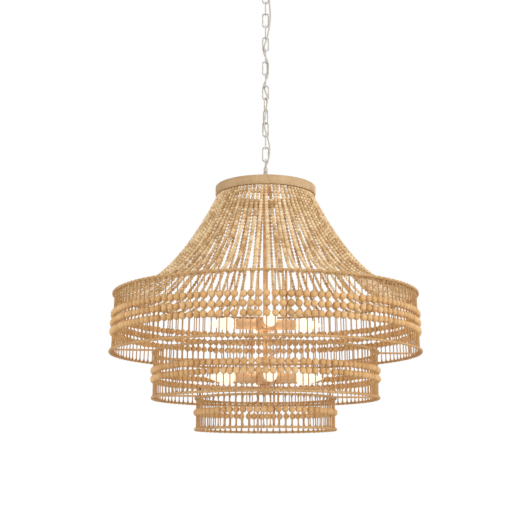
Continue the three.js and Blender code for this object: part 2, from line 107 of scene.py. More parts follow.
# The tiers' curtains. The first row lies under the rim, and the cords hang inside the rings' radius
TIERS = {
    "tier_1": dict(top=TIER_1_TOP, bottom=TIER_2_TOP, rim_radius=TIER_1_RADIUS, hem_radius=TIER_1_HEM,
                   rows=3, first_row=54, row_pitch=22.5, cords=136, bead_wide=17.6, inset=4),
    "tier_2": dict(top=TIER_2_TOP, bottom=TIER_3_TOP, rim_radius=TIER_2_RADIUS, hem_radius=TIER_2_RADIUS,
                   rows=2, first_row=47, row_pitch=21.5, cords=106, bead_wide=16.9, inset=2),
    "tier_3": dict(top=TIER_3_TOP, bottom=TIER_3_BOTTOM, rim_radius=TIER_3_RADIUS,
                   hem_radius=TIER_3_RADIUS, rows=1, first_row=36, row_pitch=21.5, cords=64,
                   bead_wide=16.9, inset=2.5),
}
TIER_BEAD_TALL = 16
TIER_BEAD_HOLE = 1.6
TIER_BEAD_TONES = (0.28, 0.72)

# A cord starts inside its ring and is thicker over the knot's tail: (way in from the ring, share
# of the cord's radius) at either end
CORD_RADIUS = 1.45
CORD_ENDS = ((RING_WIRE * 0.4, 2.2), (5, 1.7), (9, 1.0))
KNOT_SIZE = (5.6, 5.2, 1.2)
KNOT_STRETCH = (1.5, 1.5, 0.95, 1)

# How uneven handwork is: two shares of the cords' spacing, a height, a tilt in radians, and what
# the size of a bead may differ by
CORD_ASIDE = 0.05
BEAD_ASIDE = 0.02
ROW_UNEVEN = 0.35
BEAD_TILT = 0.06
BEAD_SIZE_RANGE = (-0.05, 0.03)
BEAD_FLAT_SHARE = 0.14

# The welded spiders that hold the tiers: a hub on the stem, arms, upright wires and spokes
HUB_BORE = 6.8
HUB_RADIUS = 15
HUB_HALF = 8
HUB_CHAMFER = 1
ARM_START = 11
CROWN_REACH = 126.7
MIDDLE_REACH = 279.7
LOWER_REACH = 168.7
RIM_POST = 383.7
POST_FOOT = 7
SPOKE_OVER_RING = 5.8

STEM_BORE = 4
STEM_RADIUS = 6.5
STEM_CHAMFER = 0.3

# Lamps, lying along X: (radius, distance from the stem) down each outline
LAMP_HUB_RADIUS = 26
LAMP_HUB_TALL = 34
LAMP_HUB_EDGE = 2.2
SLEEVE_OUTLINE = [(0, 24.3), (12.4, 24.3), (13.5, 25.4), (13.5, 76.6), (12.6, 78.3), (8.6, 78.3),
                  (7.5, 77), (7.5, 55), (0, 55)]
GLASS_OUTLINE = [(0, 55.6), (7, 55.6), (7, 78.6), (9, 80.5), (13.2, 84.5), (16.2, 90), (17.5, 97),
                 (17, 103.5), (15.4, 111), (12.9, 119), (10, 127), (7.1, 135), (4.5, 142.5),
                 (2.4, 148.5), (1.1, 151.7), (0, 152.5)]

# The chain, which winds up by a quarter turn over the four links after its last straight one
CHAIN_LINKS = 14
LAST_STRAIGHT_LINK = 9
TWISTED_LINKS = 4
LINK_WIRE = 1.75
LINK_HALF_WIDE = 7.75
LINK_HALF_TALL = 19.25
LINK_CORNER = 5.8
LINK_PITCH = 34.7
FIRST_LINK = -64.2 - LINK_HALF_TALL

LOOP_AT_CEILING = -55.75
LOOP_ON_STEM = -562.25
LOOP_RADIUS = 12.75
LOOP_WIRE = 2.25
COLLAR_TOP = -9.25
COLLAR_BOTTOM = -23.45
COLLAR_RADIUS = 11
STEM_COLLAR_FRONT = 5.5

# (radius, height) round the wall of the spun cup, outside first
ROSE_OUTLINE = [(5.4, -32), (30, -32), (36.5, -31.2), (42, -28.2), (52, -18.5), (58.5, -11.5),
                (60.6, -8), (61, -5), (61.4, -2.6), (63, -1.8), (64.4, -1.4), (65, -0.9),
                (64.6, -0.1), (59.6, -0.1), (59.5, -6.4), (57, -10.5), (50.6, -17.4), (41, -26.8),
                (36, -29.6), (30, -30.4), (5.4, -30.4), (5.4, -32)]

# The supply cord's middle line, the same points as the solid's
SUPPLY_CORD_RADIUS = 2.3
CORD_ROUTE = [
    (0, 0, -42.6), (0, 0, -48.5), (4.6, -4.2, -58.5), (10, -7.4, -72), (10.5, -7.5, -97),
    (13, -7, -140), (10.8, -6, -170), (6.6, -5.4, -194), (3.9, -5.6, -207), (-2.2, 0, -222),
    (-4.7, 5.1, -236), (-4, 3.6, -248), (0, 2.6, -257), (4.4, 4, -267), (4.9, 5.4, -279),
    (4.9, 5.4, -302), (4.2, 4, -316), (0, 2.6, -326), (-4.2, 4, -336), (-4.6, 4.9, -343),
    (0, 0, -359), (4.4, -4.8, -374), (4.4, -6, -390), (1.3, -9, -411), (-1, -8.6, -430),
    (-2.7, -7, -447), (-1.5, -6.5, -465), (4.4, -6.4, -482), (7.2, -6.4, -497), (10.8, -6.2, -516.5),
    (10, -5.6, -538), (5.4, -4.7, -555), (2.4, -2.2, -563), (0, 0, -570.5), (0, 0, -578),
]

# The cord's parts: name, top and bottom, its body, and for a part at a bend of the chain, the next body
# and the heights at which the bend starts and ends
CORD_PARTS = (
    ("cord_at_ceiling", -40, -84, "ceiling", "top_link", -50, -84),
    ("cord_at_top_link", -84, -125, "top_link", "chain", -84, -125),
    ("cord_on_chain", -125, -500, "chain", None, None, None),
    ("cord_at_bottom_link", -500, -536, "chain", "bottom_link", -502, -536),
    ("cord_at_stem", -536, -600, "bottom_link", "fixture", -536, -572),
)

# The studio, in metres and watts: name, place, power and size of each soft light
STUDIO_LIGHTS = (
    ("key", (2.7, -2.1, -0.4), 62, 1.6),
    ("fill", (-2.3, -2.0, -1.0), 32, 2.0),
    ("back", (-0.6, 2.6, -0.3), 24, 1.8),
)
LIGHT_TARGET = (0, 0, -0.95)
SOFT_LIGHT = 0.79
GLOW_POWER = 0.35
GLOW_SIZE = 0.06
GLOW_OVER_LAMPS = 0.065
FLOOR_HEIGHT = -4.6
FLOOR_HALF_WIDE = 14
CAMERA_PLACE = (-0.0014, -2.84, -1.378)
CAMERA_TILT_UP = 10.80
CAMERA_LENS = 74.65


def shade(code):
    """An sRGB hex colour as linear red, green, blue and alpha."""
    parts = [int(code[i:i + 2], 16) / 255 for i in (0, 2, 4)]
    return [c / 12.92 if c <= 0.04045 else ((c + 0.055) / 1.055) ** 2.4 for c in parts] + [1.0]


def pattern_scale(size_mm):
    """The scale of a noise whose patches are about this many millimetres across."""
    return 1000 / size_mm


def add_node(tree, kind, inputs=(), **settings):
    """One shader node, with its settings, and its inputs set or linked."""
    node = tree.nodes.new("ShaderNode" + kind)
    for key, value in settings.items():
        setattr(node, key, value)
    for socket, value in dict(inputs).items():
        if isinstance(value, bpy.types.NodeSocket):
            tree.links.new(value, node.inputs[socket])
        else:
            node.inputs[socket].default_value = value
    return node


def start_material(name):
    """An empty material with its surface shader, and where a pattern lies on the piece."""
    material = bpy.data.materials.new(name)
    material.use_nodes = True
    tree = material.node_tree
    tree.nodes.clear()
    place = add_node(tree, "TexCoord").outputs["Object"]
    surface = add_node(tree, "BsdfPrincipled")
    add_node(tree, "OutputMaterial", {"Surface": surface.outputs["BSDF"]})
    return material, tree, place, surface


def set_ramp(node, *stops):
    """The stops of a colour ramp: (position, hex colour) each."""
    ramp = node.color_ramp
    while len(ramp.elements) < len(stops):
        ramp.elements.new(1)
    for element, (position, code) in zip(ramp.elements, stops):
        element.position = position
        element.color = shade(code)


def turned_wood(name, pale, middle, dark, grain_mm):
    """Turned softwood beads, sanded and left bare: dry and matt, each a little lighter or darker
    than the next, with the grain running along the string."""
    material, tree, place, surface = start_material(name)
    tone = add_node(tree, "Attribute", attribute_name="tone")
    stretched = add_node(tree, "Mapping", {"Vector": place, "Scale": (1, 1, 0.22)})
    grain = add_node(tree, "TexNoise", {"Vector": stretched.outputs["Vector"],
                                        "Scale": pattern_scale(grain_mm),
                                        "Detail": 4.0, "Roughness": 0.6})
    patch = add_node(tree, "TexNoise", {"Vector": place, "Scale": pattern_scale(90), "Detail": 2.0})
    spread = add_node(tree, "Math", {0: tone.outputs["Fac"], 1: patch.outputs["Fac"]}, operation="ADD")
    mixed = add_node(tree, "Math", {0: spread.outputs[0], 1: grain.outputs["Fac"]}, operation="ADD")
    share = add_node(tree, "Math", {0: mixed.outputs[0], 1: 1 / 3}, operation="MULTIPLY")
    ramp = add_node(tree, "ValToRGB", {"Fac": share.outputs[0]})
    set_ramp(ramp, (0.28, dark), (0.48, middle), (0.68, pale))
    tree.links.new(ramp.outputs["Color"], surface.inputs["Base Color"])
    bump = add_node(tree, "Bump", {"Height": grain.outputs["Fac"], "Strength": 0.25, "Distance": 0.0004})
    tree.links.new(bump.outputs["Normal"], surface.inputs["Normal"])
    surface.inputs["Roughness"].default_value = 0.62
    surface.inputs["IOR"].default_value = 1.5
    surface.inputs["Specular IOR Level"].default_value = 0.35
    return material


def wound_raffia(name, pale, middle, dark, pitch_mm, radius_mm, groove_mm):
    """Split raffia wound side by side round a ring or band: a fine groove at each turn, its colour
    darkened there as painted shade, a dry satin skin, and turns that differ a little in colour."""
    material, tree, place, surface = start_material(name)
    parts = add_node(tree, "SeparateXYZ", {"Vector": place})
    angle = add_node(tree, "Math", {0: parts.outputs["Y"], 1: parts.outputs["X"]}, operation="ARCTAN2")
    turns = round(FULL_TURN * radius_mm / pitch_mm)
    winding = add_node(tree, "Math", {0: angle.outputs[0], 1: turns}, operation="MULTIPLY")
    groove = add_node(tree, "Math", {0: winding.outputs[0]}, operation="COSINE")
    strip = add_node(tree, "Mapping", {"Vector": place, "Scale": (1, 1, 0.2)})
    fibre = add_node(tree, "TexNoise", {"Vector": strip.outputs["Vector"], "Scale": pattern_scale(2.2),
                                        "Detail": 3.0, "Roughness": 0.65})
    patch = add_node(tree, "TexNoise", {"Vector": place, "Scale": pattern_scale(45), "Detail": 3.0})
    groove_relief_and_shade = add_node(tree, "MapRange", {"Value": groove.outputs[0], "From Min": -1.0, "From Max": 0.2,
                                       "To Min": 0.0, "To Max": 1.0})
    both = add_node(tree, "Math", {0: fibre.outputs["Fac"], 1: patch.outputs["Fac"]}, operation="ADD")
    share = add_node(tree, "Math", {0: both.outputs[0], 1: 0.5}, operation="MULTIPLY")
    ramp = add_node(tree, "ValToRGB", {"Fac": share.outputs[0]})
    set_ramp(ramp, (0.32, dark), (0.5, middle), (0.68, pale))
    # Painted shade: the colour turns to the dark tone at the bottom of each groove between the turns
    painted_groove_shade = add_node(tree, "Mix", {"Factor": groove_relief_and_shade.outputs["Result"], 6: shade(dark),
                                    7: ramp.outputs["Color"]}, data_type="RGBA")
    tree.links.new(painted_groove_shade.outputs[2], surface.inputs["Base Color"])
    bump = add_node(tree, "Bump", {"Height": groove_relief_and_shade.outputs["Result"], "Strength": 0.5,
                                   "Distance": groove_mm / 1000})
    tree.links.new(bump.outputs["Normal"], surface.inputs["Normal"])
    surface.inputs["Roughness"].default_value = 0.6
    surface.inputs["Specular IOR Level"].default_value = 0.35
    return material


def spun_cord(name, pale, dark):
    """Thin waxed cord: matt and hairy, with its twist too fine to count, so the colour breaks up
    every two or three millimetres instead."""
    material, tree, place, surface = start_material(name)
    fleck = add_node(tree, "TexNoise", {"Vector": place, "Scale": pattern_scale(2.5),
                                        "Detail": 4.0, "Roughness": 0.7})
    ramp = add_node(tree, "ValToRGB", {"Fac": fleck.outputs["Fac"]})
    set_ramp(ramp, (0.35, dark), (0.65, pale))
    tree.links.new(ramp.outputs["Color"], surface.inputs["Base Color"])
    bump = add_node(tree, "Bump", {"Height": fleck.outputs["Fac"], "Strength": 0.5, "Distance": 0.0005})
    tree.links.new(bump.outputs["Normal"], surface.inputs["Normal"])
    surface.inputs["Roughness"].default_value = 0.85
    surface.inputs["Sheen Weight"].default_value = 0.15
    surface.inputs["Specular IOR Level"].default_value = 0.2
    return material


def brushed_paint(name, pale, dark, patch_mm, roughness):
    """Steel painted by hand in a chalky coat: a soft mottle, a faint brush texture and a dull
    gloss."""
    material, tree, place, surface = start_material(name)
    mottle = add_node(tree, "TexNoise", {"Vector": place, "Scale": pattern_scale(patch_mm),
                                         "Detail": 5.0, "Roughness": 0.6})
    ramp = add_node(tree, "ValToRGB", {"Fac": mottle.outputs["Fac"]})
    set_ramp(ramp, (0.34, dark), (0.62, pale))
    tree.links.new(ramp.outputs["Color"], surface.inputs["Base Color"])
    brush = add_node(tree, "TexNoise", {"Vector": place, "Scale": pattern_scale(1.4), "Detail": 3.0})
    bump = add_node(tree, "Bump", {"Height": brush.outputs["Fac"], "Strength": 0.25, "Distance": 0.0003})
    tree.links.new(bump.outputs["Normal"], surface.inputs["Normal"])
    gloss = add_node(tree, "MapRange", {"Value": mottle.outputs["Fac"], "To Min": roughness - 0.08,
                                        "To Max": roughness + 0.08})
    tree.links.new(gloss.outputs["Result"], surface.inputs["Roughness"])
    return material


def frosted_lamp(name, pale, warm):
    """A lit candle lamp of blown glass, etched inside: it glows almost white, in soft warmer
    clouds where the etching is thicker."""
    material, tree, place, surface = start_material(name)
    etching = add_node(tree, "TexNoise", {"Vector": place, "Scale": pattern_scale(16), "Detail": 2.0})
    ramp = add_node(tree, "ValToRGB", {"Fac": etching.outputs["Fac"]})
    set_ramp(ramp, (0.35, warm), (0.65, pale))
    tree.links.new(ramp.outputs["Color"], surface.inputs["Emission Color"])
    surface.inputs["Emission Strength"].default_value = 0.62
    surface.inputs["Base Color"].default_value = shade("e6dac6")
    surface.inputs["Roughness"].default_value = 0.3
    surface.inputs["IOR"].default_value = 1.5
    return material


def extruded_jacket(name, pale, dark, roughness):
    """Vinyl extruded over the wires: even and softly shiny, with a faint waviness."""
    material, tree, place, surface = start_material(name)
    wave = add_node(tree, "TexNoise", {"Vector": place, "Scale": pattern_scale(6), "Detail": 2.0})
    ramp = add_node(tree, "ValToRGB", {"Fac": wave.outputs["Fac"]})
    set_ramp(ramp, (0.3, dark), (0.8, pale))
    tree.links.new(ramp.outputs["Color"], surface.inputs["Base Color"])
    bump = add_node(tree, "Bump", {"Height": wave.outputs["Fac"], "Strength": 0.15, "Distance": 0.0003})
    tree.links.new(bump.outputs["Normal"], surface.inputs["Normal"])
    surface.inputs["Roughness"].default_value = roughness
    return material


WOOD_SMALL = turned_wood("turned wood, small beads", "ebd5b0", "d5b68a", "ab8354", 2.4)
WOOD_LARGE = turned_wood("turned wood, barrel beads", "dfbb8b", "cca26e", "ad814e", 3.2)
BAND_WRAP = wound_raffia("raffia wound round the band", "dcbf98", "c8a981", "a2835d",
                         WINDING_WIDE, BAND_OUTSIDE, 0.5)
RING_WRAP = wound_raffia("raffia wound round the rings", "e0bc8b", "cda572", "a27b4e", 3.0, 300, 0.4)
JUTE = spun_cord("waxed jute cord", "cfa572", "976f43")
# A real thread, coloured darker than the jute so that it also paints the shade in the joints between the
# crown's beads
THREAD = spun_cord("waxed thread, dark for painted shade between beads", "8c6a48", "5c432c")
WHITEWASH = brushed_paint("whitewashed steel", "c8c2bb", "a59f98", 9, 0.5)
TAN_PAINT = brushed_paint("tan painted steel", "d4ab80", "bb9066", 14, 0.55)
SLEEVE = brushed_paint("tan painted lamp sleeve", "e0b98f", "cfa478", 18, 0.5)
LAMP = frosted_lamp("frosted lit glass", "fffaf0", "ffefd4")
VINYL = extruded_jacket("vinyl cord jacket", "c8c5bd", "b1aea5", 0.45)


def spin_round(bm, outline, steps):
    """Spin an outline a full turn round Z and close it on itself."""
    bmesh.ops.spin(bm, geom=outline, cent=(0, 0, 0), axis=(0, 0, 1), dvec=(0, 0, 0),
                   angle=FULL_TURN, steps=steps, use_merge=True, use_duplicate=False)


def lathe(outline, steps):
    """Spin an open outline of (radius, height) round Z into a closed shell."""
    bm = bmesh.new()
    verts = [bm.verts.new((radius, 0, height)) for radius, height in outline]
    edges = [bm.edges.new(pair) for pair in zip(verts, verts[1:])]
    spin_round(bm, verts + edges, steps)
    bmesh.ops.remove_doubles(bm, verts=bm.verts, dist=1e-4)
    bmesh.ops.recalc_face_normals(bm, faces=bm.faces)
    return bm


def ring(radius, wire, height):
    """A round ring of round wire lying flat."""
    bm = bmesh.new()
    upright = Matrix.Translation((radius, 0, height)) @ Matrix.Rotation(QUARTER_TURN, 4, "X")
    bmesh.ops.create_circle(bm, cap_ends=False, radius=wire, segments=14, matrix=upright)
    spin_round(bm, bm.verts[:] + bm.edges[:], 240)
    bmesh.ops.recalc_face_normals(bm, faces=bm.faces)
    return bm


def add_rod(bm, start, end, radius):
    """A round bar between two points, its ends broken by a small bevel."""
    sides, edge_share = 18, 0.18
    start, end = Vector(start), Vector(end)
    run = end - start
    turn = run.to_track_quat("Z", "Y").to_matrix().to_4x4()
    made = bmesh.ops.create_cone(bm, cap_ends=True, cap_tris=False, segments=sides, radius1=radius,
                                 radius2=radius, depth=run.length,
                                 matrix=Matrix.Translation((start + end) / 2) @ turn)
    rims = {edge for vert in made["verts"] for edge in vert.link_edges
            if any(len(face.verts) == sides for face in edge.link_faces)}
    bmesh.ops.bevel(bm, geom=list(rims), offset=radius * edge_share, offset_type="OFFSET", segments=2,
                    profile=0.5, affect="EDGES", material=-1)


def tube(paths, radius, closed=False, resolution=3, radii=None):
    """A mesh of round cords or wires that follow the paths."""
    curve = bpy.data.curves.new("path", "CURVE")
    curve.dimensions = "3D"
    curve.bevel_depth = radius
    curve.bevel_resolution = resolution
    curve.use_fill_caps = not closed
    for path in paths:
        spline = curve.splines.new("POLY")
        spline.points.add(len(path) - 1)
        for index, (point, place) in enumerate(zip(spline.points, path)):
            point.co = (*place, 1)
            point.radius = radii[index] if radii else 1
        spline.use_cyclic_u = closed
    holder = bpy.data.objects.new("path", curve)
    bpy.context.scene.collection.objects.link(holder)
    bpy.context.view_layer.update()
    evaluated = holder.evaluated_get(bpy.context.evaluated_depsgraph_get())
    mesh = bpy.data.meshes.new_from_object(evaluated)
    bm = bmesh.new()
    bm.from_mesh(mesh)
    bmesh.ops.remove_doubles(bm, verts=bm.verts, dist=1e-4)
    bmesh.ops.recalc_face_normals(bm, faces=bm.faces)
    bpy.data.objects.remove(holder)
    bpy.data.curves.remove(curve)
    bpy.data.meshes.remove(mesh)
    return bm


def absorb(bm, other):
    """Move another bmesh's shape into this one."""
    mesh = bpy.data.meshes.new("part")
    other.to_mesh(mesh)
    other.free()
    bm.from_mesh(mesh)
    bpy.data.meshes.remove(mesh)


def finish_piece(name, bm, material, crease):
    """An object from a shape in metres, smooth but for edges sharper than the crease, in degrees."""
    mesh = bpy.data.meshes.new(name)
    bm.to_mesh(mesh)
    bm.free()
    mesh.shade_smooth()
    mesh.set_sharp_from_angle(angle=math.radians(crease))
    mesh.materials.append(material)
    piece = bpy.data.objects.new(name, mesh)
    bpy.context.scene.collection.objects.link(piece)
    return piece


def add_piece(name, bm, material, body, replaced=(), turned=True, crease=35):
    """A finished piece on its body, in place of its plain solids. The shade stands a little turned,
    and the chain and the ceiling fitting do not."""
    bm.transform(TO_METRES @ SHADE_TURN if turned else TO_METRES)
    piece = finish_piece(name, bm, material, crease)
    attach(piece, body)
    if replaced:
        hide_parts(*replaced)
    return piece


def turned_bead(width, height, hole, sides, rows):
    """A barrel bead standing on the string, with flats where the string enters."""
    outline = [(0, -height / 2)]
    for row in range(rows + 1):
        turn = math.pi * (BEAD_FLAT_SHARE + (1 - 2 * BEAD_FLAT_SHARE) * row / rows)
        outline.append((max(width / 2 * math.sin(turn), hole),
                        -height / 2 * math.cos(turn) / math.cos(BEAD_FLAT_SHARE * math.pi)))
    outline.append((0, height / 2))
    bm = lathe(outline, sides)
    mesh = bpy.data.meshes.new("bead")
    bm.to_mesh(mesh)
    bm.free()
    mesh.attributes.new("tone", "FLOAT", "POINT")
    return mesh


def strung(bead, places):
    """Copies of a bead at each place, each with its own tone of the wood, around a middle of 0.5."""
    count = len(bead.vertices)
    rest = np.empty(count * 3, np.float32)
    bead.vertices.foreach_get("co", rest)
    bm = bmesh.new()
    for place, tone in places:
        bead.attributes["tone"].data.foreach_set("value", [tone] * count)
        bead.transform(place)
        bm.from_mesh(bead)
        bead.vertices.foreach_set("co", rest)
    return bm


def bead_size():
    """The size of one hand-turned bead, as a share of the usual one."""
    return 1 + dice.uniform(*BEAD_SIZE_RANGE)


def any_turn():
    """A bead turns freely on its string, so it stops at any angle."""
    return Matrix.Rotation(dice.uniform(0, FULL_TURN), 4, "Z")


def crown_curve(share):
    """Radius, height and slope angle of a strand at a share of its way out to the rim."""
    spread = CROWN_FOOT_RADIUS - HEADER_RADIUS
    drop = BAND_BOTTOM - TIER_1_TOP
    return (HEADER_RADIUS + spread * share, TIER_1_TOP + drop * (1 - share) ** 2,
            math.atan2(-2 * drop * (1 - share), spread))


def touching_shares(pitch):
    """Shares of the strand's way at which beads of one pitch touch each other."""
    steps = 2000
    marks, run, last = [], 0.0, crown_curve(0)
    for step in range(1, steps + 1):
        here = crown_curve(step / steps)
        run += math.hypot(here[0] - last[0], here[1] - last[1])
        marks.append((run, step / steps))
        last = here
    count = int(run / pitch)
    shares, at = [], 0
    for bead in range(count):
        while marks[at][0] < (bead + 0.5) * run / count:
            at += 1
        shares.append(marks[at][1])
    return shares


def build_crown():
    """Strands of small beads that fan out from the header cord to the first rim, a quarter of them
    to a piece, with the threads that carry them."""
    shares = touching_shares(CROWN_PITCH)
    bead = turned_bead(CROWN_BEAD_WIDE, CROWN_BEAD_TALL, CROWN_BEAD_HOLE, 10, 4)
    step = FULL_TURN / CROWN_STRANDS
    header_height = BAND_BOTTOM + HEADER_WIRE
    strands, threads = [], []
    for strand in range(CROWN_STRANDS):
        lean, bow = dice.gauss(0, STRAND_LEAN), dice.gauss(0, STRAND_BOW)
        strand_tone = dice.gauss(0, STRAND_TONE)
        places, thread = [], []
        for share in shares:
            radius, height, slope = crown_curve(share)
            turn = (strand + 0.5 + lean * (1 - share) + bow * math.sin(math.pi * share)) * step
            size = bead_size()
            spot = Matrix.Rotation(turn, 4, "Z") @ Matrix.Translation((radius, 0, height))
            along = Matrix.Rotation(QUARTER_TURN - slope, 4, "Y")
            places.append((spot @ along @ any_turn() @ Matrix.Scale(size, 4),
                           0.5 + strand_tone + dice.uniform(-CROWN_BEAD_TONE, CROWN_BEAD_TONE)))
            thread.append(spot.translation)
        start = Matrix.Rotation((strand + 0.5 + lean) * step, 3, "Z")
        end = Matrix.Rotation((strand + 0.5) * step, 3, "Z")
        thread.insert(0, start @ Vector((HEADER_RADIUS, 0, header_height)))
        thread.append(end @ Vector((CROWN_FOOT_RADIUS + THREAD_RADIUS, 0, TIER_1_TOP)))
        strands.append(places)
        threads.append(thread)
    quarter = CROWN_STRANDS // 4
    for index in range(4):
        chosen = strands[index * quarter:(index + 1) * quarter]
        places = [place for strand in chosen for place in strand]
        add_piece(f"crown_strings_{index + 1}", strung(bead, places), WOOD_SMALL, "fixture",
                  (f"crown_strands_{index + 1}",), crease=80)
    # The threads' dark colour also paints the shade in the joints between the beads
    add_piece("crown_threads", tube(threads, THREAD_RADIUS, resolution=1), THREAD, "fixture",
              crease=70)
    add_piece("crown_header", ring(HEADER_RADIUS, HEADER_WIRE, header_height), RING_WRAP, "fixture")


def build_band():
    """The flat band over the crown, with a shallow groove between the turns wound round it."""
    half, wall, corner = (BAND_TOP - BAND_BOTTOM) / 2, BAND_HALF_WALL, BAND_CORNER
    middle = (BAND_TOP + BAND_BOTTOM) / 2
    profile = [(BAND_RADIUS + x * (wall - inset_x), middle + z * (half - inset_z))
               for x, z, inset_x, inset_z in (
                   (1, -1, corner, 0), (1, -1, 0, corner), (1, 1, 0, corner), (1, 1, corner, 0),
                   (-1, 1, corner, 0), (-1, 1, 0, corner), (-1, -1, 0, corner), (-1, -1, corner, 0))]
    bm = bmesh.new()
    verts = [bm.verts.new((radius, 0, height)) for radius, height in profile]
    edges = [bm.edges.new(pair) for pair in zip(verts, verts[1:] + verts[:1])]
    turns = round(FULL_TURN * BAND_OUTSIDE / WINDING_WIDE)
    spin_round(bm, verts + edges, turns * 2)
    bmesh.ops.recalc_face_normals(bm, faces=bm.faces)
    for vert in bm.verts:
        angle = math.atan2(vert.co.y, vert.co.x)
        dip = WINDING_DIP * (1 - math.cos(angle * turns))
        out = Vector((vert.co.x, vert.co.y, 0))
        side = 1 if out.length > BAND_RADIUS else -1
        vert.co -= out.normalized() * dip * side
    add_piece("crown_wrap", bm, BAND_WRAP, "fixture", ("crown_band",), crease=60)


def build_tier(name, top, bottom, rim_radius, hem_radius, rows, first_row, row_pitch, cords, bead_wide,
               inset):
    """One tier: its two wrapped rings, the cords knotted between them, and the rows of barrel beads
    on the cords."""
    def radius_at(height):
        flare = rim_radius - hem_radius
        return hem_radius + flare * (height - bottom) / (top - bottom) - inset

    bead = turned_bead(bead_wide, TIER_BEAD_TALL, TIER_BEAD_HOLE, 12, 5)
    knot = turned_bead(*KNOT_SIZE, 8, 3)
    step = FULL_TURN / cords
    upper = [(top - way, share) for way, share in CORD_ENDS]
    lower = [(bottom + way, share) for way, share in reversed(CORD_ENDS)]
    marks, thickness = zip(*upper, ((top + bottom) / 2, 1.0), *lower)
    places, knots, paths = [], [], []
    for cord in range(cords):
        turn = (cord + 0.5) * step + dice.gauss(0, CORD_ASIDE) * step
        for row in range(rows):
            height = top - first_row - row * row_pitch + dice.gauss(0, ROW_UNEVEN)
            size = bead_size()
            spot = (Matrix.Rotation(turn + dice.gauss(0, BEAD_ASIDE) * step, 4, "Z")
                    @ Matrix.Translation((radius_at(height), 0, height)))
            tilt = Matrix.Rotation(dice.gauss(0, BEAD_TILT), 4, "X")
            places.append((spot @ tilt @ any_turn() @ Matrix.Scale(size, 4),
                           dice.uniform(*TIER_BEAD_TONES)))
        paths.append([(radius_at(mark) * math.cos(turn), radius_at(mark) * math.sin(turn), mark)
                      for mark in marks])
        for height in (top, bottom):
            knots.append((Matrix.Rotation(turn, 4, "Z")
                          @ Matrix.Translation((radius_at(height) + inset, 0, height))
                          @ Matrix.Rotation(QUARTER_TURN, 4, "X") @ Matrix.Diagonal(KNOT_STRETCH), 0.5))
    knotted = tube(paths, CORD_RADIUS, resolution=1, radii=thickness)
    absorb(knotted, strung(knot, knots))
    add_piece(name + "_bead_rows", strung(bead, places), WOOD_LARGE, "fixture",
              (name + "_beads",), crease=60)
    add_piece(name + "_cords", knotted, JUTE, "fixture", crease=70)
    add_piece(name + "_rim", ring(rim_radius, RING_WIRE, top), RING_WRAP, "fixture",
              (name + "_top_ring",))
    add_piece(name + "_hem", ring(hem_radius, RING_WIRE, bottom), RING_WRAP, "fixture",
              (name + "_bottom_ring",))


def build_spider(name, level, reach, posts=()):
    """A hub on the stem with four arms, and on each arm its posts: upright wires, each with a spoke
    that runs out from its end."""
    low, high = level - HUB_HALF, level + HUB_HALF
    flat = HUB_RADIUS - HUB_CHAMFER
    bm = lathe([(HUB_BORE, low), (flat, low), (HUB_RADIUS, low + HUB_CHAMFER),
                (HUB_RADIUS, high - HUB_CHAMFER), (flat, high), (HUB_BORE, high), (HUB_BORE, low)], 36)
    for arm in range(4):
        turn = Matrix.Rotation(arm * QUARTER_TURN, 3, "Z")
        add_rod(bm, turn @ Vector((ARM_START, 0, level)), turn @ Vector((reach, 0, level)), ARM_WIRE)
        for radius, start, end, spoke_end in posts:
            add_rod(bm, turn @ Vector((radius, 0, start)), turn @ Vector((radius, 0, end)), RISER_WIRE)
            add_rod(bm, turn @ Vector((radius - RISER_WIRE, 0, end)), turn @ Vector((spoke_end, 0, end)),
                    RISER_WIRE)
    add_piece(name + "_frame", bm, TAN_PAINT, "fixture", (name,))


def build_spiders():
    """The crown's plain spider, and two whose posts carry the rings of the tiers."""
    over_tier_2 = TIER_2_TOP + SPOKE_OVER_RING
    over_tier_3 = TIER_3_TOP + SPOKE_OVER_RING
    build_spider("crown_arms", CROWN_ARMS, CROWN_REACH)
    build_spider("middle_arms", MIDDLE_ARMS, MIDDLE_REACH,
                 ((MIDDLE_REACH, MIDDLE_ARMS, over_tier_2, TIER_1_HEM),
                  (RIM_POST, over_tier_2, TIER_1_TOP, RIM_POST + POST_FOOT)))
    build_spider("lower_arms", LOWER_ARMS, LOWER_REACH,
                 ((LOWER_REACH, LOWER_ARMS, over_tier_3, TIER_2_RADIUS),
                  (LOWER_REACH, LOWER_ARMS, TIER_3_BOTTOM, LOWER_REACH + POST_FOOT)))


def build_lamps():
    """Two eight-sided bodies on the stem, each with four candle lamps in their sleeves."""
    for level, height in (("upper", UPPER_LAMPS), ("lower", LOWER_LAMPS)):
        centre = Matrix.Translation((0, 0, height))
        bm = bmesh.new()
        bmesh.ops.create_cone(bm, cap_ends=True, segments=8, radius1=LAMP_HUB_RADIUS,
                              radius2=LAMP_HUB_RADIUS, depth=LAMP_HUB_TALL,
                              matrix=centre @ Matrix.Rotation(math.pi / 8, 4, "Z"))
        bmesh.ops.bevel(bm, geom=bm.edges[:], offset=LAMP_HUB_EDGE, offset_type="OFFSET", segments=3,
                        profile=0.5, affect="EDGES", material=-1)
        add_piece(level + "_lamp_hub", bm, TAN_PAINT, "fixture", (level + "_lamp_body",))
        for lamp in range(4):
            aim = centre @ Matrix.Rotation(lamp * QUARTER_TURN, 4, "Z") @ ALONG_X
            sleeve = lathe(SLEEVE_OUTLINE, 40)
            sleeve.transform(aim)
            add_piece(f"{level}_sleeve_{lamp + 1}", sleeve, SLEEVE, "fixture",
                      (f"{level}_socket_{lamp + 1}",))
            glass = lathe(GLASS_OUTLINE, 36)
            glass.transform(aim)
            add_piece(f"{level}_lamp_{lamp + 1}", glass, LAMP, "fixture",
                      (f"{level}_bulb_{lamp + 1}",))


